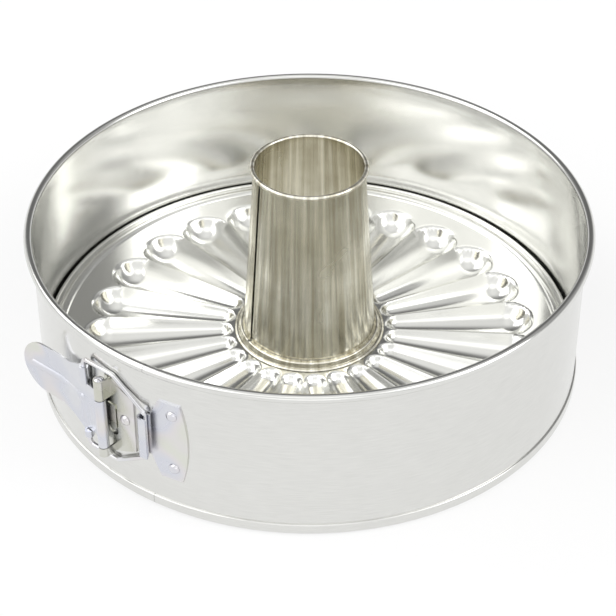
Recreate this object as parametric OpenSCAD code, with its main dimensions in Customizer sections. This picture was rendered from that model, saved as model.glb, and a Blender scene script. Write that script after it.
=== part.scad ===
// Springform tube cake pan: a sprung band with an over-centre latch, and a fluted tube base.
// Millimetres, +Z up. The origin is on the band's axis, in the plane that the pan stands on.
// The latch is at the front, towards -Y. Angles called az run from the front towards +X.

/* [Band] */
// Inner diameter of the band
band_d = 260; // [220:1:320]
// Overall height of the band
band_h = 81.5; // [78:0.5:120]
// Thickness of the tinplate band
band_t = 0.5; // [0.4:0.05:0.8]
// Diameter of the rolled bead at the top of the band
bead_d = 4.1; // [3:0.1:5]
// How far the groove at the foot stands out from the wall
groove_out = 0.9; // [0.6:0.1:1.2]
// Height of the groove above the foot
groove_h = 6.4; // [5:0.1:8]
// How far the foot is turned in under the base
foot_in = 3.4; // [3:0.1:5]
// Length of band that lies under the other end
lap_len = 5.2; // [3:0.1:6]

/* [Base] */
// Gap between the band's lapped end and the flange that the foot carries
flange_clear = 0.3; // [0.25:0.05:0.6]
// Gap between the band's wall and the upright skirt
skirt_gap = 2.4; // [2:0.1:3]
// Height of the deck above the foot of the pan
deck_z = 16; // [14:0.5:18]
// Thickness of the tinplate base
base_t = 0.5; // [0.4:0.05:0.7]
// Height of the raised ring above the deck
rim_up = 1.1; // [0.8:0.1:1.6]
// Width of the raised ring
rim_w = 5.4; // [4:0.1:8]
// Width of the flat deck between the raised ring and the flutes
deck_w = 9.8; // [6:0.1:16]
// Number of flutes
flutes = 24; // [20:1:26]
// Radius at the inner ends of the flutes
flute_in_r = 38.4; // [38.2:0.1:42]
// Depth of a flute at its outer end
flute_deep = 8.5; // [6:0.1:9.5]
// Depth of a flute at its inner end
flute_shallow = 4; // [3:0.1:4.5]
// Width of the ridge left between two flutes
ridge_w = 0.6; // [0.5:0.05:0.7]

/* [Tube] */
// Overall height of the pan, to the top of the tube
tube_top_z = 110; // [90:0.5:140]
// Outside diameter of the tube's top bead
tube_top_d = 55.4; // [48:0.1:58]
// Outside diameter of the tube at the deck
tube_foot_d = 64; // [62:0.1:64.4]
// Thickness of the tube's sheet
tube_t = 0.5; // [0.4:0.05:0.7]
// Diameter of the tube's rolled top bead
tube_bead_d = 2.3; // [1.8:0.1:3]
// Width of the crimped ring round the tube's foot
crimp_w = 4.4; // [4:0.1:4.6]
// Width of the lap seam down the tube
seam_w = 5; // [3:0.1:8]
// Where the lap seam lies
seam_az = -23.5; // [-90:0.5:90]

/* [Latch plates] */
// Height of the middle of the latch above the foot
latch_z = 42; // [41:0.5:43]
// Thickness of the latch's sheet steel
plate_t = 0.9; // [0.7:0.05:1]
// Overall height of the bracket and of the catch plate
plate_h = 43; // [42:0.5:44]
// Height of the bracket's narrow end
bracket_end_h = 29; // [24:1:36]
// Length of the bracket plate from the pin to its narrow end
bracket_len = 16; // [15:0.5:17]
// Length of the catch plate from the band's lapped edge to the top of its bulge
catch_len = 18.7; // [18:0.1:26]
// Length of the sloping corners beside the hook
catch_slope = 5; // [3:0.1:6]
// How far the catch plate's free edge bulges
catch_bulge = 3.2; // [2:0.1:5]
// Height of the hook that holds the bail
hook_h = 22; // [20:0.2:24]
// Room for the wire inside the hook, on the radius
hook_in = 1.78; // [1.74:0.02:1.9]
// Length of the hook's lip past the middle of its curl
lip_len = 2.9; // [2:0.1:3]
// Diameter of a rivet's shank
rivet_d = 2.9; // [2:0.1:3.4]
// Diameter of a rivet's head
rivet_head_d = 5.4; // [4.4:0.1:6]
// Height of a rivet's domed head
rivet_head_h = 1.2; // [0.8:0.1:1.6]
// Distance between the two catch rivets
catch_rivet_gap = 30; // [26:1:34]
// Height of the bracket's rivet above the middle of the latch
bracket_rivet_up = 1.3; // [0:0.1:4]

/* [Lever and bail] */
// Height of the hinge pin's middle above the band
pin_up = 5.2; // [5.1:0.1:5.4]
// Distance along the band from the pin to the front's middle line
pin_left = 8.4; // [8:0.1:9]
// Diameter of the hinge pin
pin_d = 3.2; // [3:0.1:3.4]
// Running clearance of the pin in its curls, on the radius
pin_clear = 0.05; // [0.02:0.01:0.08]
// Distance along the band from the pin to the hooked wire
pin_to_hook = 22.6; // [22:0.1:23]
// Distance from the pin to the wire's seat on the lever
crank = 13.6; // [13.4:0.1:13.8]
// Length of the lever from the pin to its tip
lever_len = 58; // [54:0.5:64]
// Width of the lever's rounded tongue
tongue_w = 27.4; // [22:0.2:28]
// Width of the lever across the curls that hold the bail
lever_w = 40; // [38:0.5:41]
// Slope of the closed lever towards the band, in degrees
lever_tuck = 7.5; // [6.5:0.5:8]
// Distance from the pin to the line where the tongue bends outwards
bend_at = 34; // [30:1:38]
// Angle of that bend, in degrees
tongue_bend = 10; // [4:1:14]
// Height of the lever's hinge curl
lever_curl_h = 26.9; // [22:0.1:28]
// Height of the lever's hinge curl above the lower edge of the plates
lever_curl_low = 5.2; // [4.5:0.1:7]
// Diameter of the bail's wire
wire_d = 2.2; // [1.8:0.1:2.2]
// Width of the raised rib along the lever
rib_w = 4; // [3:0.1:6]
// How far the rib stands out of the lever
rib_out = 0.8; // [0.4:0.1:1.2]

/* [Hidden] */

fine = 180;
round_fn = 48;
// Gap left between sheets that lie on each other
sheet_gap = 0.02;
// Gap between the lever's curl and the edges of the bracket beside it
edge_gap = 0.4;

// Band
wall_in = band_d / 2;
wall_out = wall_in + band_t;
groove_r = wall_out + groove_out;
foot_r = wall_in - foot_in;
bead_r = bead_d / 2;
bead_z = band_h - bead_r;
turn_z = 1.6;
lap_gap = 0.1;
lap_r = wall_in - lap_gap;

// Angle that an arc of a given length takes on the band's outside
function band_deg(len) = len / wall_out * 180 / PI;
// A point at a radius and az
function at(r, az) = [r * sin(az), -r * cos(az)];
function turned(p, a) = [p[0] * cos(a) - p[1] * sin(a), p[0] * sin(a) + p[1] * cos(a)];

// Base
flange_z = band_t + 0.1;
flange_r = lap_r - band_t - flange_clear;
skirt_r = wall_in - skirt_gap;
lip_r = 0.9;
lip_z = deck_z + 0.2;
rim_out_r = skirt_r - 2 * lip_r - 0.3;
rim_in_r = rim_out_r - rim_w;
flute_out_r = rim_in_r - deck_w;
hole_r = tube_foot_d / 2 + 1;

// Flute: a cone between two spheres, sunk in the deck
function chord_r(half, deep) = (half * half + deep * deep) / (2 * deep);
pitch_half = 180 / flutes;
big_half = (flute_out_r * sin(pitch_half) - ridge_w / 2) / (1 + sin(pitch_half));
big_c = flute_out_r - big_half;
small_half = (flute_in_r * sin(pitch_half) - ridge_w / 2) / (1 - sin(pitch_half));
small_c = flute_in_r + small_half;
big_r = chord_r(big_half, flute_deep);
small_r = chord_r(small_half, flute_shallow);
big_up = big_r - flute_deep;
small_up = small_r - flute_shallow;
flute_run = norm([big_c - small_c, big_up - small_up]);
flute_tilt = atan2(big_up - small_up, big_c - small_c);

// Tube
tube_bead_r = tube_bead_d / 2;
tube_top_r = tube_top_d / 2 - tube_bead_d + tube_t;
tube_foot_r = tube_foot_d / 2;
tube_bead_z = tube_top_z - tube_bead_r;
crimp_z = deck_z + sheet_gap;
crimp_top = crimp_z + 3;

// Latch
plate_in = wall_out + sheet_gap;
plate_out = plate_in + plate_t;
pin_hole_r = pin_d / 2 + pin_clear;
pin_r = wall_out + pin_up;
pin_az = -band_deg(pin_left);
pin_at = at(pin_r, pin_az);
wire_r = wire_d / 2;
wire_az = pin_az + band_deg(pin_to_hook);
wire_at = at(plate_out + wire_r + 0.25, wire_az);
lap_az = wire_az + band_deg(1.5);
plate_low = latch_z - plate_h / 2;
plate_high = latch_z + plate_h / 2;
lever_low = plate_low + lever_curl_low;
lever_high = lever_low + lever_curl_h;
bracket_rivet_az = 0.8;
catch_rivet_az = lap_az + 5.1;

// Hook: the wire needs room on its closed side, because the lever first pulls it further in
hook_az = wire_az - band_deg(0.35);
hook_at = at(plate_out + hook_in + 0.06, hook_az);

// Lever: its own x axis runs from the pin to the tip, and its y axis outwards
lever_dir = 180 + pin_az - lever_tuck;
lever_skin = -pin_hole_r;
eye_r = wire_r + 0.08;
eye_out = lever_skin + 0.25;
eye_along = sqrt(crank * crank - eye_out * eye_out);
eye_at = pin_at + turned([eye_along, eye_out], lever_dir);

// Bail: tall at the lever and short at the hook
bail_half = plate_h / 2 + 1.9 + wire_r;
bail_hook_half = hook_h / 2 + 0.8 + wire_r;
bail_long = norm(wire_at - eye_at);
bail_dir = atan2(wire_at[1] - eye_at[1], wire_at[0] - eye_at[0]);
bail_level = bail_long * 0.5;
bail_slope = atan2(bail_half - bail_hook_half, bail_long - bail_level);
bend_r = 3;

// A section swept round the pan's axis between two az
module swept(from, to) {
  rotate([0, 0, from - 90]) rotate_extrude(angle = to - from, $fn = fine) children();
}

// A section swept between two angles about a vertical axis, for curls
module curl(inner, thick, low, high, from, to) {
  translate([0, 0, low]) rotate([0, 0, from])
    rotate_extrude(angle = to - from, $fn = round_fn)
      translate([inner, 0]) square([thick, high - low]);
}

// An outline seen from the front, pushed through the front of the pan
module from_front() {
  translate([0, -wall_in + 30, 0]) rotate([90, 0, 0]) linear_extrude(60) children();
}

// The curved sheet that a latch plate is cut from
module plate_sheet(out = 0, in = 0) {
  swept(-30, 30) translate([plate_in + in, 5]) square([plate_t + out - in, band_h - 10]);
}

// The axis of a rivet, pointing outwards, with its zero on the pan's axis
module on_rivet(az, z) {
  translate([0, 0, z]) rotate([0, 0, az - 90]) rotate([0, 90, 0]) children();
}

module rivet_hole(az, z) {
  on_rivet(az, z) translate([0, 0, wall_in - 3]) cylinder(r = rivet_d / 2 + 0.02, h = 8, $fn = 32);
}

// Dome outside, shank through both sheets, flat tail inside the band
module rivet(az, z) {
  head_r = rivet_head_d / 2;
  dome_r = chord_r(head_r, rivet_head_h);
  head_at = plate_out + sheet_gap;
  on_rivet(az, z) {
    intersection() {
      translate([0, 0, head_at + rivet_head_h - dome_r]) sphere(r = dome_r, $fn = 48);
      translate([0, 0, head_at]) cylinder(r = head_r + 1, h = rivet_head_h + 1, $fn = 48);
    }
    translate([0, 0, wall_in - 0.3]) cylinder(r = rivet_d / 2, h = head_at - wall_in + 0.6, $fn = 32);
    translate([0, 0, wall_in - 0.54]) cylinder(r = 2.3, h = 0.5, $fn = 48);
  }
}

// Band: one tinplate strip with a grooved foot and a rolled bead, its ends lapped behind the latch
module band() {
  low = groove_h + 0.6;
  tall = bead_z - groove_h - 3;
  color([0.78, 0.79, 0.79]) difference() {
    union() {
      difference() {
        swept(lap_az, 360 + lap_az - 0.1) {
          band_wall_2d();
          band_bead_2d();
        }
        swept(lap_az - 1.5, lap_az - 0.04) translate([wall_in - 1, low]) square([2.5, tall]);
      }
      swept(lap_az - 1.9, lap_az - 1.2)
        translate([lap_r - band_t + 0.1, low + 0.3]) square([wall_out - lap_r + band_t - 0.2, tall - 0.6]);
      swept(lap_az - 1.6, lap_az + band_deg(lap_len))
        translate([lap_r - band_t, low + 0.5]) square([band_t, tall - 1]);
    }
    rivet_hole(bracket_rivet_az, latch_z + bracket_rivet_up);
    for (side = [-1, 1]) rivet_hole(catch_rivet_az, latch_z + side * catch_rivet_gap / 2);
  }
}

// The wall, the groove and the turned-in foot, in section
module band_wall_2d() {
  polygon([
    [wall_in, bead_z - 0.6], [wall_in, groove_h - band_t], [groove_r - band_t, groove_h - band_t],
    [groove_r - band_t, turn_z], [wall_in - 0.3, band_t], [foot_r, band_t], [foot_r, 0],
    [wall_in - 0.1, 0], [groove_r, turn_z], [groove_r, groove_h], [wall_out, groove_h],
    [wall_out, bead_z - 0.6]
  ]);
}

// The rolled bead, in section
module band_bead_2d() {
  translate([wall_in + bead_r - 0.05, bead_z]) difference() {
    circle(r = bead_r, $fn = 48);
    circle(r = bead_r - band_t, $fn = 48);
  }
}

// Base: one pressed sheet with a flange, a skirt, a raised ring and sunken flutes
module base_disc() {
  color([0.74, 0.75, 0.75]) difference() {
    union() {
      rotate_extrude($fn = fine) base_2d();
      intersection() {
        cylinder(r = flute_out_r + 4, h = deck_z - base_t / 2, $fn = fine);
        flute_solids(base_t);
      }
    }
    flute_solids(0);
  }
}

// All flutes as solids, grown by a thickness
module flute_solids(grow) {
  for (i = [0 : flutes - 1])
    rotate([0, 0, (i + 0.5) * 360 / flutes + 4.9]) flute(grow);
}

module flute(grow) {
  translate([big_c, 0, deck_z + big_up]) sphere(r = big_r + grow, $fn = 64);
  translate([small_c, 0, deck_z + small_up]) sphere(r = small_r + grow, $fn = 64);
  translate([small_c, 0, deck_z + small_up]) rotate([0, 90 - flute_tilt, 0])
    cylinder(r1 = small_r + grow - 0.05, r2 = big_r + grow - 0.05, h = flute_run, $fn = 64);
}

// Section of the pressed sheet without its flutes
module base_2d() {
  ring_half = rim_w / 2;
  ring_r = chord_r(ring_half, rim_up);
  translate([skirt_r - base_t, flange_z]) square([flange_r - skirt_r + base_t, base_t]);
  translate([skirt_r - base_t, flange_z]) square([base_t, lip_z - flange_z]);
  intersection() {
    translate([skirt_r - lip_r, lip_z]) difference() {
      circle(r = lip_r, $fn = 48);
      circle(r = lip_r - base_t, $fn = 48);
    }
    translate([0, lip_z]) square([wall_in, lip_r]);
  }
  translate([rim_out_r - 0.4, lip_z - base_t]) square([base_t + 0.7, base_t]);
  intersection() {
    translate([rim_out_r - ring_half, deck_z + rim_up - ring_r]) difference() {
      circle(r = ring_r, $fn = 96);
      circle(r = ring_r - base_t, $fn = 96);
    }
    translate([rim_in_r - 0.4, deck_z - base_t]) square([rim_w + 0.8, rim_up + base_t]);
  }
  translate([hole_r, deck_z - base_t]) square([rim_in_r - hole_r + 0.2, base_t]);
}

// Tube: a rolled sheet with a lap seam and a bead, its foot crimped round the base's inner edge
module centre_tube() {
  color([0.66, 0.65, 0.60]) {
    rotate_extrude($fn = fine) tube_2d();
    swept(seam_az - seam_w / tube_foot_r * 29, seam_az + seam_w / tube_foot_r * 29) polygon([
      [tube_foot_r - 0.1, crimp_top], [tube_foot_r + 0.35, crimp_top],
      [tube_top_r + 0.35, tube_bead_z - 1], [tube_top_r - 0.1, tube_bead_z - 1]
    ]);
  }
}

module tube_2d() {
  polygon([
    [tube_foot_r - tube_t, crimp_z], [tube_foot_r, crimp_z], [tube_foot_r, crimp_top],
    [tube_top_r, tube_bead_z], [tube_top_r - tube_t, tube_bead_z], [tube_foot_r - tube_t, crimp_top]
  ]);
  translate([tube_top_d / 2 - tube_bead_r, tube_bead_z]) difference() {
    circle(r = tube_bead_r, $fn = 32);
    circle(r = tube_bead_r - tube_t, $fn = 32);
  }
  intersection() {
    translate([tube_foot_r + 1.2, crimp_top - 1.4]) circle(r = 1.4, $fn = 32);
    translate([tube_foot_r - tube_t, crimp_z]) square([4, 4]);
  }
  translate([tube_foot_r - tube_t, crimp_z]) square([crimp_w + tube_t - 0.6, 1.2]);
  translate([tube_foot_r + crimp_w - 0.6, crimp_z + 0.6]) circle(r = 0.6, $fn = 32);
  foot_low = deck_z - base_t - sheet_gap - tube_t;
  translate([tube_foot_r - tube_t, foot_low]) square([1.3, crimp_z - foot_low + 0.3]);
  translate([tube_foot_r - tube_t, foot_low]) square([4, tube_t]);
}

// Bracket: curved plate with two curls for the pin and a lanced tongue
module hinge_bracket() {
  slot_x = pin_at[0] + 3;
  color([0.72, 0.72, 0.74]) difference() {
    union() {
      intersection() {
        plate_sheet();
        from_front() difference() {
          bracket_2d();
          tongue_2d(slot_x, 2.8, latch_z - 10.8, 13);
        }
      }
      intersection() {
        plate_sheet(0.7, 0.1);
        from_front() tongue_2d(slot_x + 0.1, 2.3, latch_z - 7.6, 12.5);
      }
      knuckle(plate_low, lever_low - edge_gap);
      knuckle(lever_high + edge_gap, plate_high);
    }
    rivet_hole(bracket_rivet_az, latch_z + bracket_rivet_up);
  }
}

module bracket_2d() {
  left = pin_at[0] - 0.9;
  right = pin_at[0] + bracket_len;
  polygon([
    [left, plate_low], [left + 1.5, plate_low], [right, latch_z - bracket_end_h / 2],
    [right, latch_z + bracket_end_h / 2], [left + 1.5, plate_high], [left, plate_high]
  ]);
}

// A wall that rises from the bracket's plate and curls over the pin
module knuckle(low, high) {
  translate(pin_at) {
    curl(pin_hole_r, plate_t, low, high, pin_az - 300, pin_az + 2);
    rotate([0, 0, pin_az]) translate([pin_hole_r + 0.05, -0.3, low + 0.1])
      cube([plate_t - 0.1, pin_up - band_t + 0.3, high - low - 0.2]);
  }
}

// A strip with a round lower end
module tongue_2d(x, half, low, tall) {
  translate([x, low + half]) circle(r = half, $fn = 32);
  translate([x - half, low + half]) square([2 * half, tall]);
}

// Bracket rivet
module bracket_rivet() {
  color([0.80, 0.80, 0.80]) rivet(bracket_rivet_az, latch_z + bracket_rivet_up);
}

// Pin: a plain rod with an upset dome at each end
module hinge_pin() {
  dome_r = chord_r(2.1, 0.7);
  color([0.70, 0.70, 0.72]) translate(pin_at) {
    translate([0, 0, plate_low - 0.3]) cylinder(r = pin_d / 2, h = plate_h + 0.6, $fn = 32);
    intersection() {
      translate([0, 0, plate_high + sheet_gap + 0.7 - dome_r]) sphere(r = dome_r, $fn = 48);
      translate([0, 0, plate_high + sheet_gap]) cylinder(r = 3, h = 2, $fn = 48);
    }
    intersection() {
      translate([0, 0, plate_low - sheet_gap - 0.7 + dome_r]) sphere(r = dome_r, $fn = 48);
      translate([0, 0, plate_low - sheet_gap - 2]) cylinder(r = 3, h = 2, $fn = 48);
    }
  }
}

// Lever: a tongue of sheet with one curl for the pin, two for the bail, and a raised rib
module lever() {
  color([0.76, 0.76, 0.80]) translate(pin_at) rotate([0, 0, lever_dir]) {
    intersection() {
      linear_extrude(band_h) lever_bent_2d();
      translate([0, 30, 0]) rotate([90, 0, 0]) linear_extrude(60) lever_2d();
    }
    curl(pin_hole_r, plate_t, lever_low, lever_high, -45, 270);
    translate([eye_along, eye_out, 0]) {
      curl(eye_r, plate_t, latch_z - lever_w / 2, lever_low - edge_gap, -50, 270);
      curl(eye_r, plate_t, lever_high + edge_gap, latch_z + lever_w / 2, -50, 270);
    }
    translate([crank + 4, lever_skin, latch_z]) rib(bend_at - crank - 4);
    translate([bend_at, lever_skin, latch_z]) rotate([0, 0, tongue_bend])
      rib(lever_len - bend_at - tongue_w / 2 + 8);
  }
}

// The sheet seen from above, let a little into the pin's curl, with the bend that lifts the tongue
module lever_bent_2d() {
  outer = lever_skin - 0.02;
  inner = lever_skin - plate_t + 0.02;
  run = lever_len - bend_at + 5;
  rise = run * tan(tongue_bend);
  polygon([
    [-0.25, inner], [bend_at, inner], [bend_at + run, inner + rise],
    [bend_at + run, outer + rise], [bend_at, outer], [-0.25, outer]
  ]);
}

// Outline of the sheet seen from its outer side
module lever_2d() {
  ear = eye_along + eye_r + plate_t / 2;
  tip = lever_len - tongue_w / 2;
  translate([-0.25, lever_low + 0.1]) square([ear + 1.25, lever_curl_h - 0.2]);
  translate([0, latch_z]) for (side = [0, 1]) mirror([0, side])
    polygon([
      [ear, -1], [tip, -1], [tip, tongue_w / 2], [eye_along + 17, tongue_w / 2 + 0.2],
      [eye_along + 11, tongue_w / 2 + 1.5], [eye_along + 5, lever_w / 2 - 2],
      [eye_along + 3, lever_w / 2 - 0.3], [ear, lever_w / 2 - 0.2]
    ]);
  translate([tip, latch_z]) circle(r = tongue_w / 2, $fn = 64);
}

// A low round-topped rib with round ends, standing out of a face at y = 0
module rib(len) {
  rib_r = chord_r(rib_w / 2, rib_out);
  intersection() {
    translate([0, rib_out - rib_r, 0]) {
      rotate([0, 90, 0]) cylinder(r = rib_r, h = len, $fn = 48);
      sphere(r = rib_r, $fn = 48);
      translate([len, 0, 0]) sphere(r = rib_r, $fn = 48);
    }
    translate([-rib_w, -plate_t / 2, -rib_w]) cube([len + 2 * rib_w, plate_t + rib_out, 2 * rib_w]);
  }
}

// Bail: one bent wire, whose two ends turn into the lever's small curls
module bail() {
  turn_a = bend_r;
  turn_b = bend_r * tan(bail_slope / 2);
  turn_c = bend_r * tan((90 - bail_slope) / 2);
  slope_len = norm([bail_long - bail_level, bail_half - bail_hook_half]);
  color([0.82, 0.82, 0.82]) translate([eye_at[0], eye_at[1], latch_z]) rotate([0, 0, bail_dir]) {
    rod([0, 0, lever_high + 0.8 - latch_z], 0, latch_z + bail_half - turn_a - lever_high - 0.8);
    rod([0, 0, turn_a - bail_half], 0, lever_low - 0.8 - latch_z + bail_half - turn_a);
    rod([bail_long, 0, turn_c - bail_hook_half], 0, 2 * (bail_hook_half - turn_c));
    for (side = [0, 1]) mirror([0, 0, side]) {
      rod([turn_a, 0, bail_half], 90, bail_level - turn_a - turn_b);
      bend(bail_level - turn_b, bail_half - bend_r, 90 - bail_slope, 90);
      translate([bail_level, 0, bail_half]) rotate([0, bail_slope, 0])
        rod([turn_b, 0, 0], 90, slope_len - turn_b - turn_c);
      bend(turn_a, bail_half - bend_r, 90, 180);
      bend(bail_long - bend_r, bail_hook_half - turn_c, 0, 90 - bail_slope);
    }
  }
}

// A straight piece of wire, tipped about Y, its ends let a little into the bends
module rod(from, tip, len) {
  translate(from) rotate([0, tip, 0])
    translate([0, 0, -0.2]) cylinder(r = wire_r, h = len + 0.4, $fn = 32);
}

// A bend about a point, between two angles from the loop's long axis. Bending swells it slightly.
module bend(x, z, from, to) {
  translate([x, 0, z]) rotate([90, 0, 0]) rotate([0, 0, from])
    rotate_extrude(angle = to - from, $fn = 64)
      translate([bend_r, 0]) circle(r = wire_r + 0.02, $fn = 32);
}

// Catch plate: a D-shaped plate whose straight edge is curled into the hook
module catch_plate() {
  color([0.74, 0.74, 0.77]) difference() {
    union() {
      intersection() {
        plate_sheet();
        from_front() catch_2d();
      }
      translate(hook_at) {
        curl(hook_in, plate_t, latch_z - hook_h / 2, latch_z + hook_h / 2, 90 + hook_az, 270 + hook_az);
        rotate([0, 0, hook_az]) translate([-0.25, 0.02 - hook_in - plate_t, latch_z - hook_h / 2 + 0.05])
          cube([lip_len + 0.25, plate_t - 0.04, hook_h - 0.1]);
      }
    }
    for (side = [-1, 1]) rivet_hole(catch_rivet_az, latch_z + side * catch_rivet_gap / 2);
  }
}

module catch_2d() {
  left = at(plate_out, lap_az)[0];
  edge_r = chord_r(plate_h / 2, catch_bulge);
  end = left + catch_len + 1;
  translate([hook_at[0] - 0.6, latch_z - hook_h / 2 + 0.1]) square([left + 2.6 - hook_at[0], hook_h - 0.2]);
  intersection() {
    translate([0, latch_z]) polygon([
      [left + 0.5, -hook_h / 2], [left + 2, -hook_h / 2 - 4], [left + catch_slope, -plate_h / 2],
      [end, -plate_h / 2], [end, plate_h / 2], [left + catch_slope, plate_h / 2],
      [left + 2, hook_h / 2 + 4], [left + 0.5, hook_h / 2]
    ]);
    translate([left + catch_len - edge_r, latch_z]) circle(r = edge_r, $fn = 180);
  }
}

// Catch rivets, one above the other
module catch_rivets() {
  color([0.82, 0.82, 0.84])
    for (side = [-1, 1]) rivet(catch_rivet_az, latch_z + side * catch_rivet_gap / 2);
}

band();
base_disc();
centre_tube();
hinge_bracket();
bracket_rivet();
hinge_pin();
lever();
bail();
catch_plate();
catch_rivets();
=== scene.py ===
import math

import bmesh
import bpy
from mathutils import Matrix, Vector, noise


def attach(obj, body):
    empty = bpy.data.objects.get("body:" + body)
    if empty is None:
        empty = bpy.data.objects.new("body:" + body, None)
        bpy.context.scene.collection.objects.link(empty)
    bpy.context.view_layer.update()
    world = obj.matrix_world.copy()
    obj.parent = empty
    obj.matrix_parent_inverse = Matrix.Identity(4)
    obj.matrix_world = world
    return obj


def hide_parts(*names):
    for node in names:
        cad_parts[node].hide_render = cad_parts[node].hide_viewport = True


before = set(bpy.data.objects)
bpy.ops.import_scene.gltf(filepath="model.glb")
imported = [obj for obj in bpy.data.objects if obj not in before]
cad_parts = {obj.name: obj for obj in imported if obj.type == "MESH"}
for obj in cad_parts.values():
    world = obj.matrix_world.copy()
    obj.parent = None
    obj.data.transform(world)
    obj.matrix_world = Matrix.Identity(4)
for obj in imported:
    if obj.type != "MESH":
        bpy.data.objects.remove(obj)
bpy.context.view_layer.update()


# Band: one long strip of bright tinplate, sprung into a ring, its ends lapped behind the latch.
# The top edge is curled outwards into a bead. The foot is pressed out into a groove that holds
# the base, and turned in under it.
MM = 0.001  # sizes are in millimetres, and turns in degrees from the latch, to the right
WALL = 130.0
SHEET = 0.5
BAND_TOP = 81.5
BEAD = 4.1
GROOVE_OUT = 0.9
GROOVE_TOP = 6.4
FOOT = 126.6
LAP = 6.89  # the strip's outer end starts here, and its inner end runs on under it
INNER_END = (LAP - 1.2, LAP + 2.28)
ENDS_APART = 0.06
LAP_DIP = 0.54
LAP_DIP_FROM, LAP_DIP_TO = 2.6, 0.4
BUCKLED = ((7, 12), (70, 76))  # the wall is flat below the first height and above the last one
BUCKLES = ((22, 0.10, 0), (60, 0.035, 5))  # waves to a metre, how high, and where their noise starts
BAND_STEPS = 540


def rounded(corners, steps=6):
    """Points of a line whose corners are (r, z, radius of the bend)."""
    line = []
    for k, (r, z, bend) in enumerate(corners):
        here = Vector((r, z))
        if bend == 0 or k in (0, len(corners) - 1):
            line.append(here)
            continue
        back = (Vector(corners[k - 1][:2]) - here).normalized()
        on = (Vector(corners[k + 1][:2]) - here).normalized()
        half = back.angle(on) / 2
        run = bend / math.tan(half)
        middle = here + (back + on).normalized() * bend / math.sin(half)
        first, last = here + back * run - middle, here + on * run - middle
        turn = first.angle_signed(last)
        for step in range(steps + 1):
            line.append(middle + Matrix.Rotation(-turn * step / steps, 2) @ first)
    return line


def bent(middle, radius, start, stop, steps):
    """Points of an arc between two angles in degrees, in section."""
    points = []
    for angle in even(math.radians(start), math.radians(stop), steps):
        points.append(Vector((middle[0] + radius * math.cos(angle),
                              middle[1] + radius * math.sin(angle))))
    return points


def even(start, stop, steps):
    """Evenly spaced numbers from start to stop, with both of them."""
    return [start + (stop - start) * k / steps for k in range(steps + 1)]


def ramp_up(x, low, high):
    """A smooth step from 0 at low to 1 at high."""
    t = min(max((x - low) / (high - low), 0), 1)
    return t * t * (3 - 2 * t)


def between(x, rise, fall):
    """1 between two smooth steps and 0 outside them."""
    return ramp_up(x, *rise) * (1 - ramp_up(x, *fall))


def on_pan(r, turn, z):
    """A point in metres from a radius, a turn from the latch and a height."""
    angle = math.radians(turn)
    return Vector((r * math.sin(angle), -r * math.cos(angle), z)) * MM


def pressed_sheet(line, sheet, turns, nudge=None):
    """A bmesh of sheet metal with the section line, carried round the pan through the given turns.
    Its UV map is the sheet rolled out flat, in metres."""
    sides = []
    for k, point in enumerate(line):
        before, after = line[max(k - 1, 0)], line[min(k + 1, len(line) - 1)]
        out = (after - before).normalized().orthogonal() * sheet / 2
        sides.append((point + out, point - out))
    lengths = [0.0]
    for here, after in zip(line, line[1:]):
        lengths.append(lengths[-1] + (after - here).length)
    closed = abs(turns[-1] - turns[0] - 360) < 1e-6
    bm = bmesh.new()
    uv = bm.loops.layers.uv.new("Sheet")
    rings = []
    for turn in turns[:-1] if closed else turns:
        ring = []
        for side in (0, 1):
            for pair in sides:
                r, z = nudge(turn, *pair[side]) if nudge else pair[side]
                ring.append(bm.verts.new(on_pan(r, turn, z)))
        rings.append(ring)
    n = len(line)
    end = n - 1

    def face(corners, places):
        new = bm.faces.new(corners)
        for loop, (turn, k) in zip(new.loops, places):
            loop[uv].uv = (math.radians(turn) * line[0][0] * MM, lengths[k] * MM)

    for j in range(len(turns) - 1):
        a, b = rings[j], rings[(j + 1) % len(rings)]
        t, u = turns[j], turns[j + 1]
        for k in range(end):
            face((a[k], b[k], b[k + 1], a[k + 1]), ((t, k), (u, k), (u, k + 1), (t, k + 1)))
            face((a[n + k + 1], b[n + k + 1], b[n + k], a[n + k]),
                 ((t, k + 1), (u, k + 1), (u, k), (t, k)))
        face((a[0], a[n], b[n], b[0]), ((t, 0), (t, 0), (u, 0), (u, 0)))
        face((a[end], b[end], b[n + end], a[n + end]), ((t, end), (u, end), (u, end), (t, end)))
    if not closed:
        for ring, t in ((rings[0], turns[0]), (rings[-1], turns[-1])):
            for k in range(end):
                face((ring[k], ring[k + 1], ring[n + k + 1], ring[n + k]),
                     ((t, k), (t, k + 1), (t, k + 1), (t, k)))
    bmesh.ops.recalc_face_normals(bm, faces=bm.faces)
    return bm


def piece(name, meshes, sharp):
    """One object from one or more bmeshes, smooth but for edges sharper than the given angle."""
    data = bpy.data.meshes.new(name)
    whole = meshes[0]
    for extra in meshes[1:]:
        part = bpy.data.meshes.new("part")
        extra.to_mesh(part)
        whole.from_mesh(part)
        bpy.data.meshes.remove(part)
    whole.to_mesh(data)
    data.shade_smooth()
    data.set_sharp_from_angle(angle=math.radians(sharp))
    made = bpy.data.objects.new(name, data)
    bpy.context.scene.collection.objects.link(made)
    return made


def band_shape(turn, r, z):
    """The rolled strip isn't quite round or flat, and its last few millimetres dip under the lap."""
    here = on_pan(WALL, turn, z)
    buckle = sum(high * noise.noise(here * often + Vector((start, 0, 0)))
                 for often, high, start in BUCKLES)
    dip = LAP_DIP * ramp_up(turn, 360 + LAP - LAP_DIP_FROM, 360 + LAP - LAP_DIP_TO)
    return r + between(z, *BUCKLED) * (buckle - dip), z


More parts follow.
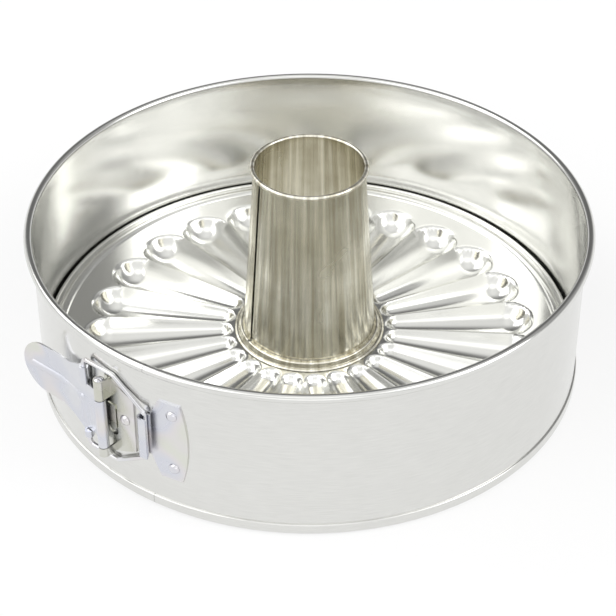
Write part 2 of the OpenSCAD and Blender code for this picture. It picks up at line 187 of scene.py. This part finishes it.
wall_r = WALL + SHEET / 2
groove_r = wall_r + GROOVE_OUT
groove_z = GROOVE_TOP - SHEET / 2
foot_z = SHEET / 2
band_line = rounded([
    (FOOT, foot_z, 0), (WALL - 0.15, foot_z, 0.6), (groove_r, 2.0, 0.9), (groove_r, groove_z, 0.45),
    (wall_r, groove_z, 0.3), (wall_r, 12, 0)])
band_line += [Vector((wall_r, z)) for z in even(14, 76, 31)]
band_line += bent((WALL + BEAD / 2 - 0.05, BAND_TOP - BEAD / 2), (BEAD - SHEET) / 2, 180, -160, 28)
strip = pressed_sheet(band_line, SHEET, even(LAP, 360 + LAP - ENDS_APART, BAND_STEPS), band_shape)
under_lap = pressed_sheet([Vector((WALL - 0.35, z)) for z in even(7.5, 76, 20)], SHEET,
                          even(*INNER_END, 12))
band = piece("tin_band", [strip, under_lap], 50)


def linear(code):
    """A colour of the shader from an sRGB hex value."""
    parts = [int(code[k:k + 2], 16) / 255 for k in (1, 3, 5)]
    return tuple(c / 12.92 if c <= 0.04045 else ((c + 0.055) / 1.055) ** 2.4 for c in parts) + (1,)


def add(tree, kind, **settings):
    """Adds a node. Names are its settings or its sockets, in0 being the first socket, and they take
    values or outputs."""
    made = tree.nodes.new(kind)
    for name, value in settings.items():
        if name.startswith("in") and name[2:].isdigit():
            socket = made.inputs[int(name[2:])]
        elif hasattr(made, name):
            setattr(made, name, value)
            continue
        else:
            socket = made.inputs[name.replace("_", " ")]
        if isinstance(value, bpy.types.NodeSocket):
            tree.links.new(value, socket)
        else:
            socket.default_value = value
    return made


def per_metre(size):
    """How often a pattern of this size in millimetres comes in a metre."""
    return 1000 / size


def tinplate(name, light, dark, rough, grain, deep=0.02, seam=False):
    """Rolled tinplate: a bright tin coat on steel. To the eye it is a soft mirror with rolling lines, a
    faint mottle of the tin's crystals and smears from handling. grain is the length and the width of
    the lines, and deep is their depth. Real lines are too fine to show, so they are drawn coarser."""
    made = bpy.data.materials.new(name)
    made.use_nodes = True
    tree = made.node_tree
    surface = tree.nodes["Principled BSDF"]
    surface.inputs["Metallic"].default_value = 1.0
    place = add(tree, "ShaderNodeTexCoord")
    rolled = add(tree, "ShaderNodeMapping", in0=place.outputs["UV"],
                 Scale=(per_metre(grain[0]), per_metre(grain[1]), 1))
    lines = add(tree, "ShaderNodeTexNoise", Vector=rolled.outputs[0], Scale=1.0, Detail=3.0,
                Roughness=0.6)
    mottle = add(tree, "ShaderNodeTexNoise", Vector=place.outputs["Object"], Scale=per_metre(14),
                 Detail=4.0, Roughness=0.6)
    mottle_share = 0.25
    both = add(tree, "ShaderNodeMix", in0=mottle_share, in2=lines.outputs[0], in3=mottle.outputs[0])
    shade = add(tree, "ShaderNodeMapRange", Value=both.outputs[0], in1=0.36, in2=0.64, in3=0.0, in4=1.0)
    tint = add(tree, "ShaderNodeMix", data_type="RGBA", in0=shade.outputs[0], in6=linear(dark),
               in7=linear(light))
    colour = tint.outputs[2]
    # With seam, the vertices flagged in the Seam attribute are painted near black: painted shade in the
    # narrow gap of the seam.
    if seam:
        mark = add(tree, "ShaderNodeAttribute", attribute_name="Seam")
        colour = add(tree, "ShaderNodeMix", data_type="RGBA", in0=mark.outputs["Fac"], in6=colour,
                     in7=linear("#1B1A18")).outputs[2]
    tree.links.new(colour, surface.inputs["Base Color"])
    smear = add(tree, "ShaderNodeTexNoise", Vector=place.outputs["Object"], Scale=per_metre(55),
                Detail=2.0, Distortion=0.8)
    dull = add(tree, "ShaderNodeMapRange", Value=smear.outputs[0], in1=0.25, in2=0.75,
               in3=rough - 0.03, in4=rough + 0.05)
    tree.links.new(dull.outputs[0], surface.inputs["Roughness"])
    drawn = add(tree, "ShaderNodeBump", Height=lines.outputs[0], Strength=0.25, Distance=deep * MM)
    tree.links.new(drawn.outputs[0], surface.inputs["Normal"])
    return made


# The band's tinplate was rolled along the strip, so its short fine lines run round the pan.
band.data.materials.append(tinplate("tinplate_band", "#DEDEDB", "#D8D8D5", 0.17, (9.0, 0.6)))
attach(band, "band_body")
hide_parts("band")


# Base: a pressed tinplate plate. A ring of sunken flutes fills the deck round the tube, and outside
# them the sheet rises in a low ring, then a lip, and drops as a skirt to a flange in the band's groove.
DECK = 16.0
HOLE, PLATE_OUT = 33.0, 120.0
FLUTES = 24
FIRST_FLUTE = -2.6
FLUTE_OUT, OUT_BALL, OUT_BALL_UP = 97.93, 13.20, 4.70  # each end of a flute is pressed by a ball
FLUTE_IN, IN_BALL, IN_BALL_UP = 43.83, 5.65, 1.65
CREST = 1.6
STEPS_ROUND, STEPS_OUT = FLUTES * 18, 72
RING_MID, RING_R = (122.75, DECK - 2.58), 3.43
LIP_MID, LIP_R = (128.05, DECK + 0.15), 0.7
LIP_OUT = LIP_MID[0] + LIP_R
SKIRT, FLANGE, FLANGE_Z = 127.35, 129.1, 0.85

# The flutes' tree bends a square grid round the hole. Each row of its table is one sum, with its
# name, its operation and its values, which are numbers or the names of inputs and of earlier sums.
flute_tree = bpy.data.node_groups.new("Pressed flutes", "GeometryNodeTree")
for label, kind in (("Flutes", "Int"), ("Deck", "Float"), ("Hole", "Float"), ("Rim", "Float"),
                    ("Outer end", "Float"), ("Outer ball", "Float"), ("Outer rise", "Float"),
                    ("Inner end", "Float"), ("Inner ball", "Float"), ("Inner rise", "Float"),
                    ("Crest", "Float"), ("First flute", "Float"), ("Finish", "Material")):
    flute_tree.interface.new_socket(label, in_out="INPUT", socket_type="NodeSocket" + kind)
flute_tree.interface.new_socket("Plate", in_out="OUTPUT", socket_type="NodeSocketGeometry")
known = {socket.name: socket for socket in flute_tree.nodes.new("NodeGroupInput").outputs}
grid = add(flute_tree, "GeometryNodeMeshGrid", in0=1.0, in1=1.0, in2=STEPS_OUT + 1, in3=STEPS_ROUND + 1)
start = add(flute_tree, "GeometryNodeInputPosition").outputs[0]
known["grid x"], known["grid y"] = add(flute_tree, "ShaderNodeSeparateXYZ", in0=start).outputs[:2]
for name, operation, *values in (
        # how far out a point lies, and at what angle
        ("share", "ADD", "grid x", 0.5),
        ("width", "SUBTRACT", "Rim", "Hole"),
        ("reach", "MULTIPLY_ADD", "share", "width", "Hole"),
        ("share round", "ADD", "grid y", 0.5),
        ("angle", "MULTIPLY", "share round", math.tau),
        # along its flute's middle line, and aside from it
        ("half pitch", "DIVIDE", math.pi, "Flutes"),
        ("minus half", "MULTIPLY", "half pitch", -1.0),
        ("across", "WRAP", "angle", "half pitch", "minus half"),
        ("across cos", "COSINE", "across"),
        ("across sin", "SINE", "across"),
        ("along", "MULTIPLY", "reach", "across cos"),
        ("aside", "MULTIPLY", "reach", "across sin"),
        # the ball that presses the flute there, between its inner and its outer end
        ("past inner", "MAXIMUM", "along", "Inner end"),
        ("middle", "MINIMUM", "past inner", "Outer end"),
        ("run", "SUBTRACT", "middle", "Inner end"),
        ("length", "SUBTRACT", "Outer end", "Inner end"),
        ("part", "DIVIDE", "run", "length"),
        ("more ball", "SUBTRACT", "Outer ball", "Inner ball"),
        ("ball", "MULTIPLY_ADD", "part", "more ball", "Inner ball"),
        ("more rise", "SUBTRACT", "Outer rise", "Inner rise"),
        ("rise", "MULTIPLY_ADD", "part", "more rise", "Inner rise"),
        # how deep it presses, with a soft crest up to the deck
        ("off", "SUBTRACT", "along", "middle"),
        ("aside squared", "MULTIPLY", "aside", "aside"),
        ("off squared", "MULTIPLY_ADD", "off", "off", "aside squared"),
        ("ball squared", "MULTIPLY", "ball", "ball"),
        ("left over", "SUBTRACT", "ball squared", "off squared"),
        ("left", "MAXIMUM", "left over", 0.0),
        ("deep", "SQRT", "left"),
        ("sunk", "SUBTRACT", "rise", "deep"),
        ("level", "SMOOTH_MIN", "sunk", 0.0, "Crest"),
        # its place on the base
        ("height", "ADD", "level", "Deck"),
        ("turned", "ADD", "angle", "First flute"),
        ("turned cos", "COSINE", "turned"),
        ("turned sin", "SINE", "turned"),
        ("x", "MULTIPLY", "reach", "turned cos"),
        ("y", "MULTIPLY", "reach", "turned sin")):
    sockets = {f"in{k}": known.get(value, value) for k, value in enumerate(values)}
    known[name] = add(flute_tree, "ShaderNodeMath", operation=operation, **sockets).outputs[0]
place = add(flute_tree, "ShaderNodeCombineXYZ", in0=known["x"], in1=known["y"], in2=known["height"])
plate = add(flute_tree, "GeometryNodeSetPosition", in0=grid.outputs[0], Position=place.outputs[0])
plate = add(flute_tree, "GeometryNodeMergeByDistance", Geometry=plate.outputs[0], Distance=1e-6)
plate = add(flute_tree, "GeometryNodeRealizeInstances", Geometry=plate.outputs[0])
plate = add(flute_tree, "GeometryNodeSetMaterial", Geometry=plate.outputs[0], Material=known["Finish"])
add(flute_tree, "NodeGroupOutput", in0=plate.outputs[0])


def settled(made):
    """The plain mesh of an object with its modifiers done."""
    return bpy.data.meshes.new_from_object(made.evaluated_get(bpy.context.evaluated_depsgraph_get()))


def grown(name, tree, values):
    """An object with the plain mesh that a Geometry Nodes tree gives for named values."""
    seed = bpy.data.objects.new(name, bpy.data.meshes.new(name))
    bpy.context.scene.collection.objects.link(seed)
    modifier = seed.modifiers.new("Grow", "NODES")
    modifier.node_group = tree
    for item in tree.interface.items_tree:
        if item.in_out == "INPUT":
            modifier[item.identifier] = values[item.name]
    data = settled(seed)
    seed.modifiers.remove(modifier)
    seed.data = data
    return seed


# The base's tinplate was drawn in the press. Its lines are wide and blurred, and only its rim keeps
# them: the fluted plate has just the mottle and the smears.
base_finish = tinplate("tinplate_base", "#E9E9E5", "#DFDFDA", 0.17, (8.0, 2.0))
fluted = grown("flutes", flute_tree, {
    "Flutes": FLUTES, "Deck": DECK * MM, "Hole": HOLE * MM, "Rim": PLATE_OUT * MM,
    "Outer end": FLUTE_OUT * MM, "Outer ball": OUT_BALL * MM, "Outer rise": OUT_BALL_UP * MM,
    "Inner end": FLUTE_IN * MM, "Inner ball": IN_BALL * MM, "Inner rise": IN_BALL_UP * MM,
    "Crest": CREST * MM, "First flute": math.radians(FIRST_FLUTE), "Finish": base_finish})
thick = fluted.modifiers.new("Sheet", "SOLIDIFY")
thick.thickness = SHEET * MM
thick.offset = -1.0
thick.use_even_offset = True
fluted_mesh = bmesh.new()
fluted_mesh.from_mesh(settled(fluted))
bpy.data.objects.remove(fluted)
rim_line = rounded([(118.6, DECK - 0.45, 0), (120.1, DECK - 0.45, 0.4), (120.9, DECK + 0.35, 0.6)])
rim_line += bent(RING_MID, RING_R, 118, 62, 14)
rim_line += rounded([(124.9, DECK + 0.2, 0), (125.8, DECK - 0.25, 0.5), (127.3, DECK - 0.1, 0.4)])[1:]
rim_line += bent(LIP_MID, LIP_R, 180, 0, 10)
rim_line += rounded([(LIP_OUT, DECK - 0.5, 0), (LIP_OUT, DECK - 1.1, 0.35), (SKIRT, DECK - 1.3, 0.4),
                     (SKIRT, FLANGE_Z, 0.4), (FLANGE, FLANGE_Z, 0)])
base = piece("pressed_base", [fluted_mesh, pressed_sheet(rim_line, SHEET, even(0, 360, 240))], 80)
base.data.materials.clear()
base.data.materials.append(base_finish)
for polygon in base.data.polygons:
    polygon.material_index = 0
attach(base, "base_body")
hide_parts("base_disc")


# Tube: a tapered tube rolled from thinner tinplate with a lap seam down it. Its top edge is curled
# into a bead, and its foot is folded out and crimped round the edge of the base's hole.
TUBE_TOP = 110.0
TUBE_R_TOP, TUBE_R_FOOT = 25.65, 31.75
TUBE_BEAD_R = 0.9
TUBE_BEAD_MID = (TUBE_R_TOP + TUBE_BEAD_R, TUBE_TOP - 1.15)
CRIMP_TOP = 19.02
CRIMP_Z = DECK - 0.78
SEAM = -23.5
SEAM_WIDE = 2.1
SEAM_DEEP = 0.2
LAP_UP, LAP_FADE = 0.42, (6, 30)
ROLLED = ((18, 24), (105, 109))  # the tube is truly round below the first height and above the last one
FLATS = ((6, 0.004, 0.3, 0), (14, 0.003, 0.14, 3))  # flats round it, twist, how high, and noise's start


def past_seam(turn):
    """Degrees from the seam round to the right, under 360."""
    return (turn - SEAM) % 360


def tube_shape(turn, r, z):
    """Rolling leaves soft flats up the tube, and the outer edge of the lap stands off the wall."""
    angle = math.radians(turn)
    ring = Vector((math.cos(angle), math.sin(angle), 0))
    flats = sum(high * noise.noise(ring * often + Vector((start, 0, z * twist)))
                for often, twist, high, start in FLATS)
    past = past_seam(turn)
    lap = LAP_UP * (1 - ramp_up(360 - past, *LAP_FADE)) if past > 180 else 0
    gap = -SEAM_DEEP if past < SEAM_WIDE else 0
    return r + between(z, *ROLLED) * (flats + lap + gap), z


bead_z = TUBE_BEAD_MID[1]
taper = (TUBE_R_TOP - TUBE_R_FOOT) / (bead_z - CRIMP_TOP)
tube_line = rounded([(35.4, CRIMP_Z, 0), (TUBE_R_FOOT, CRIMP_Z, 0.5), (TUBE_R_FOOT, CRIMP_TOP, 8)])
tube_line += [Vector((TUBE_R_FOOT + taper * (z - CRIMP_TOP), z)) for z in even(23, 106.5, 28)]
tube_line += bent(TUBE_BEAD_MID, TUBE_BEAD_R, 180, -150, 20)
seam_turns = [SEAM + SEAM_WIDE - 0.05, SEAM + SEAM_WIDE + 0.05, SEAM + 359.93]
collar_line = [Vector((32.15, 20.4)), Vector((32.3, 20.1))] + bent((33.15, 18.3), 1.0, 160, 20, 12)
collar_line += rounded([(34.45, 17.2, 0), (34.9, 16.55, 0.4), (35.6, 16.9, 0.5), (36.4, 16.3, 0)])
tube = piece("centre_tube_wall", [
    pressed_sheet(tube_line, SHEET, sorted(even(SEAM, SEAM + 360, 540) + seam_turns), tube_shape),
    pressed_sheet(collar_line, 0.45, even(0, 360, 180))], 55)
# Painted shade: the wall's vertices inside the seam's narrow gap are flagged, and the tube's material
# paints them near black.
seam_shade_flags = tube.data.attributes.new("Seam", "FLOAT", "POINT")
for vertex in tube.data.vertices:
    past = past_seam(math.degrees(math.atan2(vertex.co.x, -vertex.co.y)))
    in_gap = past < SEAM_WIDE - 0.07 or past > 359.96
    on_wall = CRIMP_TOP * MM < vertex.co.z < 107 * MM
    seam_shade_flags.data[vertex.index].value = 1.0 if in_gap and on_wall else 0.0
# The tube's tinplate is a yellower grade with long drawing lines up it, which give soft upright streaks.
# The gap at its seam is painted near black: painted shade of the narrow gap.
tube.data.materials.append(
    tinplate("tinplate_tube", "#FFFDF2", "#BEB8A4", 0.25, (4.0, 160.0), 0.05, True))
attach(tube, "base_body")
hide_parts("centre_tube")


# Hinge bracket: a plate of zinc-plated steel, pressed to the band's curve. Two walls rise from it and
# curl over the pin, and between them a tongue is lanced out. One rivet holds it to the band.
def eased(name, node, edge, sharp=32):
    """A copy of a CAD node with its triangles joined up, and its cut edges rounded as tumbling
    leaves them."""
    bm = bmesh.new()
    bm.from_mesh(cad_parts[node].data)
    bmesh.ops.remove_doubles(bm, verts=bm.verts, dist=2e-6)
    bmesh.ops.dissolve_limit(bm, angle_limit=math.radians(0.5), verts=bm.verts, edges=bm.edges)
    made = piece(name, [bm], sharp)
    made.data.materials.clear()
    rim = made.modifiers.new("Edges", "BEVEL")
    rim.width = edge * MM
    rim.segments = 2
    rim.limit_method = "ANGLE"
    rim.angle_limit = math.radians(sharp)
    rim.harden_normals = True
    data = settled(made)
    made.modifiers.remove(rim)
    made.data = data
    return made


def zinc_plate(name, light, tint, rough):
    """Bright zinc plate on steel: a satin bluish grey to the eye, with the faint rainbow of its clear
    passivate. The plating's grain is too fine to show, so it is drawn 0.7 mm wide."""
    made = bpy.data.materials.new(name)
    made.use_nodes = True
    tree = made.node_tree
    surface = tree.nodes["Principled BSDF"]
    surface.inputs["Metallic"].default_value = 1.0
    place = add(tree, "ShaderNodeTexCoord")
    cloud = add(tree, "ShaderNodeTexNoise", Vector=place.outputs["Object"], Scale=per_metre(22),
                Detail=1.0, Distortion=0.3)
    film = add(tree, "ShaderNodeValToRGB", Fac=cloud.outputs[0])
    first, last = film.color_ramp.elements
    first.position, first.color = 0.33, linear(light)
    last.position, last.color = 0.72, linear("#D9DAD2")
    for where, code in ((0.48, tint), (0.6, "#DBD8D9")):
        film.color_ramp.elements.new(where).color = linear(code)
    tree.links.new(film.outputs[0], surface.inputs["Base Color"])
    grain = add(tree, "ShaderNodeTexNoise", Vector=place.outputs["Object"], Scale=per_metre(0.7),
                Detail=2.0)
    bump = add(tree, "ShaderNodeBump", Height=grain.outputs[0], Strength=0.15, Distance=0.03 * MM)
    tree.links.new(bump.outputs[0], surface.inputs["Normal"])
    wear = add(tree, "ShaderNodeMapRange", Value=cloud.outputs[0], in1=0.3, in2=0.7,
               in3=rough - 0.05, in4=rough + 0.08)
    tree.links.new(wear.outputs[0], surface.inputs["Roughness"])
    return made


# The lever and the catch plate are a cool bluish zinc, and the bracket is a duller, warmer one.
latch_zinc = zinc_plate("zinc_plated_latch", "#D8D9DD", "#D2D4DC", 0.27)
bracket = eased("bracket_plate", "hinge_bracket", 0.12)
bracket.data.materials.append(zinc_plate("zinc_plated_bracket", "#D2D2CC", "#C9C9BE", 0.26))
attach(bracket, "band_body")
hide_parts("hinge_bracket")


# Rivets: soft steel, set from outside, with a domed head that the punch has dimpled. One is in the
# bracket and two are in the catch plate.
RIVET_SEAT = 131.46
RIVET_SIDES = 32
RIVETS_APART = 30.0
BRACKET_RIVET = (0.8, 43.3)  # turn and height of the lowest rivet
CATCH_RIVET = (LAP + 5.1, 27.0)
# Radius and height of a rivet's outline, from the dimple over the dome and down to the tail.
rivet_line = [(0.0, 1.0), (0.55, 1.0), (0.85, 1.17), (1.3, 1.12), (1.9, 0.86), (2.4, 0.46),
              (2.68, 0.12), (2.7, 0.0), (1.45, 0.0), (1.45, -1.5), (2.3, -1.5), (2.3, -2.0), (0.0, -2.0)]
rivet_mesh = bmesh.new()
rings = []
for r, out in rivet_line:
    corners = [k * math.tau / RIVET_SIDES for k in range(RIVET_SIDES if r else 1)]
    rings.append([rivet_mesh.verts.new((r * MM * math.cos(a), r * MM * math.sin(a), out * MM))
                  for a in corners])
for a, b in zip(rings, rings[1:]):
    for k in range(RIVET_SIDES):
        after = (k + 1) % RIVET_SIDES
        if len(a) == 1:
            rivet_mesh.faces.new((a[0], b[k], b[after]))
        elif len(b) == 1:
            rivet_mesh.faces.new((a[k], b[0], a[after]))
        else:
            rivet_mesh.faces.new((a[k], b[k], b[after], a[after]))
bmesh.ops.recalc_face_normals(rivet_mesh, faces=rivet_mesh.faces)
rivet = piece("one_rivet", [rivet_mesh], 50)

# The rivets' tree sets one rivet on each point of an upright row, with its head facing out.
rivet_tree = bpy.data.node_groups.new("Row of rivets", "GeometryNodeTree")
for label, kind in (("Rivet", "Object"), ("Count", "Int"), ("Spacing", "Float"), ("Radius", "Float"),
                    ("Turn", "Float"), ("Height", "Float"), ("Finish", "Material")):
    rivet_tree.interface.new_socket(label, in_out="INPUT", socket_type="NodeSocket" + kind)
rivet_tree.interface.new_socket("Rivets", in_out="OUTPUT", socket_type="NodeSocketGeometry")
known = {socket.name: socket for socket in rivet_tree.nodes.new("NodeGroupInput").outputs}
for name, operation, *values in (
        ("turned", "SUBTRACT", "Turn", math.pi / 2),
        ("turned cos", "COSINE", "turned"),
        ("turned sin", "SINE", "turned"),
        ("x", "MULTIPLY", "Radius", "turned cos"),
        ("y", "MULTIPLY", "Radius", "turned sin")):
    sockets = {f"in{k}": known.get(value, value) for k, value in enumerate(values)}
    known[name] = add(rivet_tree, "ShaderNodeMath", operation=operation, **sockets).outputs[0]
lowest = add(rivet_tree, "ShaderNodeCombineXYZ", in0=known["x"], in1=known["y"], in2=known["Height"])
step = add(rivet_tree, "ShaderNodeCombineXYZ", in2=known["Spacing"])
row = add(rivet_tree, "GeometryNodeMeshLine", Count=known["Count"], Start_Location=lowest.outputs[0],
          Offset=step.outputs[0])
model = add(rivet_tree, "GeometryNodeObjectInfo", Object=known["Rivet"])
lean = add(rivet_tree, "ShaderNodeCombineXYZ", in1=math.pi / 2, in2=known["turned"])
spread = add(rivet_tree, "GeometryNodeInstanceOnPoints", Points=row.outputs[0],
             Instance=model.outputs["Geometry"], Rotation=lean.outputs[0])
solid = add(rivet_tree, "GeometryNodeRealizeInstances", Geometry=spread.outputs[0])
solid = add(rivet_tree, "GeometryNodeSetMaterial", Geometry=solid.outputs[0], Material=known["Finish"])
add(rivet_tree, "NodeGroupOutput", in0=solid.outputs[0])

# The rivets and the pin are bright-plated, smoother and lighter than the plates.
rivet_bright = zinc_plate("bright_rivet_steel", "#E3E3E6", "#D5D5DB", 0.16)
for name, node, count, (turn, height) in (("bracket_rivet_head", "bracket_rivet", 1, BRACKET_RIVET),
                                          ("catch_rivet_heads", "catch_rivets", 2, CATCH_RIVET)):
    rivets = grown(name, rivet_tree, {
        "Rivet": rivet, "Count": count, "Spacing": RIVETS_APART * MM, "Radius": RIVET_SEAT * MM,
        "Turn": math.radians(turn), "Height": height * MM, "Finish": rivet_bright})
    rivets.data.shade_smooth()
    rivets.data.set_sharp_from_angle(angle=math.radians(50))
    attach(rivets, "band_body")
    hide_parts(node)
bpy.data.objects.remove(rivet)


# Hinge pin: a short bright-plated steel rod through the curls of the bracket and the lever.
# Both its ends are upset, so that it can't slide out.
pin = eased("upset_pin", "hinge_pin", 0.1)
pin.data.materials.append(rivet_bright)
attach(pin, "band_body")
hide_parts("hinge_pin")


# Lever: a tongue of zinc-plated steel, its end bent outwards for the fingers. One curl goes round the
# pin, two small ones hold the bail's ends, and a pressed rib runs down its middle.
lever = eased("lever_tongue", "lever", 0.2)
lever.data.materials.append(latch_zinc)
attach(lever, "lever_body")
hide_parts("lever")


# Bail: one bright drawn wire with six bends. Its two ends turn in the lever's small curls, and its
# short side lies in the hook.
bail = eased("bail_wire", "bail", 0.02, 60)
# Drawn wire is the smoothest metal of the latch, so it mirrors the room as thin bright lines.
bail.data.materials.append(zinc_plate("bright_drawn_wire", "#E6E6E6", "#DADADD", 0.14))
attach(bail, "bail_body")
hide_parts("bail")


# Catch plate: a D-shaped plate of zinc-plated steel on the band's outer end, its straight edge
# curled out and back into the hook for the bail. Two rivets hold it.
catch = eased("catch_hook_plate", "catch_plate", 0.15)
catch.data.materials.append(latch_zinc)
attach(catch, "band_body")
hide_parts("catch_plate")


# Floor, light and camera: the pan stands on a plain sheet of white paper in a soft white room.
# The paper glows a little, as paper on a light table does, so that shadows stay pale on it.
floor_mesh = bmesh.new()
bmesh.ops.create_grid(floor_mesh, x_segments=1, y_segments=1, size=6)
floor = bpy.data.objects.new("floor", bpy.data.meshes.new("floor"))
floor_mesh.to_mesh(floor.data)
bpy.context.scene.collection.objects.link(floor)
paper = bpy.data.materials.new("white_paper")
paper.use_nodes = True
for socket, value in (("Base Color", linear("#8A8A8A")), ("Roughness", 0.9),
                      ("Emission Color", linear("#FFFFFF")), ("Emission Strength", 0.69)):
    paper.node_tree.nodes["Principled BSDF"].inputs[socket].default_value = value
floor.data.materials.append(paper)

# The room is grey between a bright floor line and a white ceiling. Patches of it are the screens that
# the tinplate mirrors: which way each lies, the cosines of its soft edge and of its core, and the
# light that it adds.
GREYS = ((0.2, 0.8), (0.42, 0.36), (0.75, 0.44))
PATCHES = (((-0.50, 0.62, 0.60), 0.80, 0.95, -0.55), ((-0.36, -0.71, 0.60), 0.85, 0.93, 3.1),
           ((0.78, 0.18, 0.60), 0.88, 0.94, 2.6), ((0.50, -0.62, 0.60), 0.75, 0.95, 1.5))
world = bpy.data.worlds.new("soft_room")
world.use_nodes = True
bpy.context.scene.world = world
room = world.node_tree
way = add(room, "ShaderNodeTexCoord").outputs["Generated"]
up = add(room, "ShaderNodeSeparateXYZ", in0=way).outputs[2]
glow = add(room, "ShaderNodeValToRGB", Fac=up)
glow.color_ramp.elements[0].color = linear("#FFFFFF")
for where, grey in GREYS:
    glow.color_ramp.elements.new(where).color = (grey, grey, grey, 1)
light = 1.0
for aim, edge, core, extra in PATCHES:
    near = add(room, "ShaderNodeVectorMath", operation="DOT_PRODUCT", in0=way, in1=aim)
    patch = add(room, "ShaderNodeMapRange", Value=near.outputs["Value"], in1=edge, in2=core, in3=0.0,
                in4=extra)
    light = add(room, "ShaderNodeMath", operation="ADD", in0=patch.outputs[0], in1=light).outputs[0]
room.links.new(light, room.nodes["Background"].inputs["Strength"])
room.links.new(glow.outputs[0], room.nodes["Background"].inputs["Color"])


def turned_to(place, target):
    """The rotation that faces a light or a camera from its place to its target."""
    return (Vector(target) - Vector(place)).to_track_quat("-Z", "Y").to_euler()


def softbox(name, place, size, watts):
    """A rectangular soft light aimed at the pan."""
    data = bpy.data.lights.new(name, "AREA")
    data.shape = "RECTANGLE"
    data.size, data.size_y = size
    data.energy = watts
    made = bpy.data.objects.new(name, data)
    made.location = place
    made.rotation_euler = turned_to(place, (0, 0, 0.05))
    bpy.context.scene.collection.objects.link(made)


softbox("left_softbox", (-1.2, -0.3, 1.2), (0.9, 1.2), 6)
softbox("right_softbox", (1.3, 0.5, 1.0), (0.8, 0.9), 5)

CAMERA_PLACE = (0.46305, -0.57494, 0.58634)
CAMERA_TARGET = (-0.00052, -0.00042, 0.02685)
camera = bpy.data.objects.new("photo_camera", bpy.data.cameras.new("photo_camera"))
camera.data.lens = 110.8
camera.data.sensor_width = 36
camera.data.clip_end = 30
camera.location = CAMERA_PLACE
camera.rotation_euler = turned_to(CAMERA_PLACE, CAMERA_TARGET)
bpy.context.scene.collection.objects.link(camera)
bpy.context.scene.camera = camera
bpy.context.scene.view_settings.view_transform = "Standard"
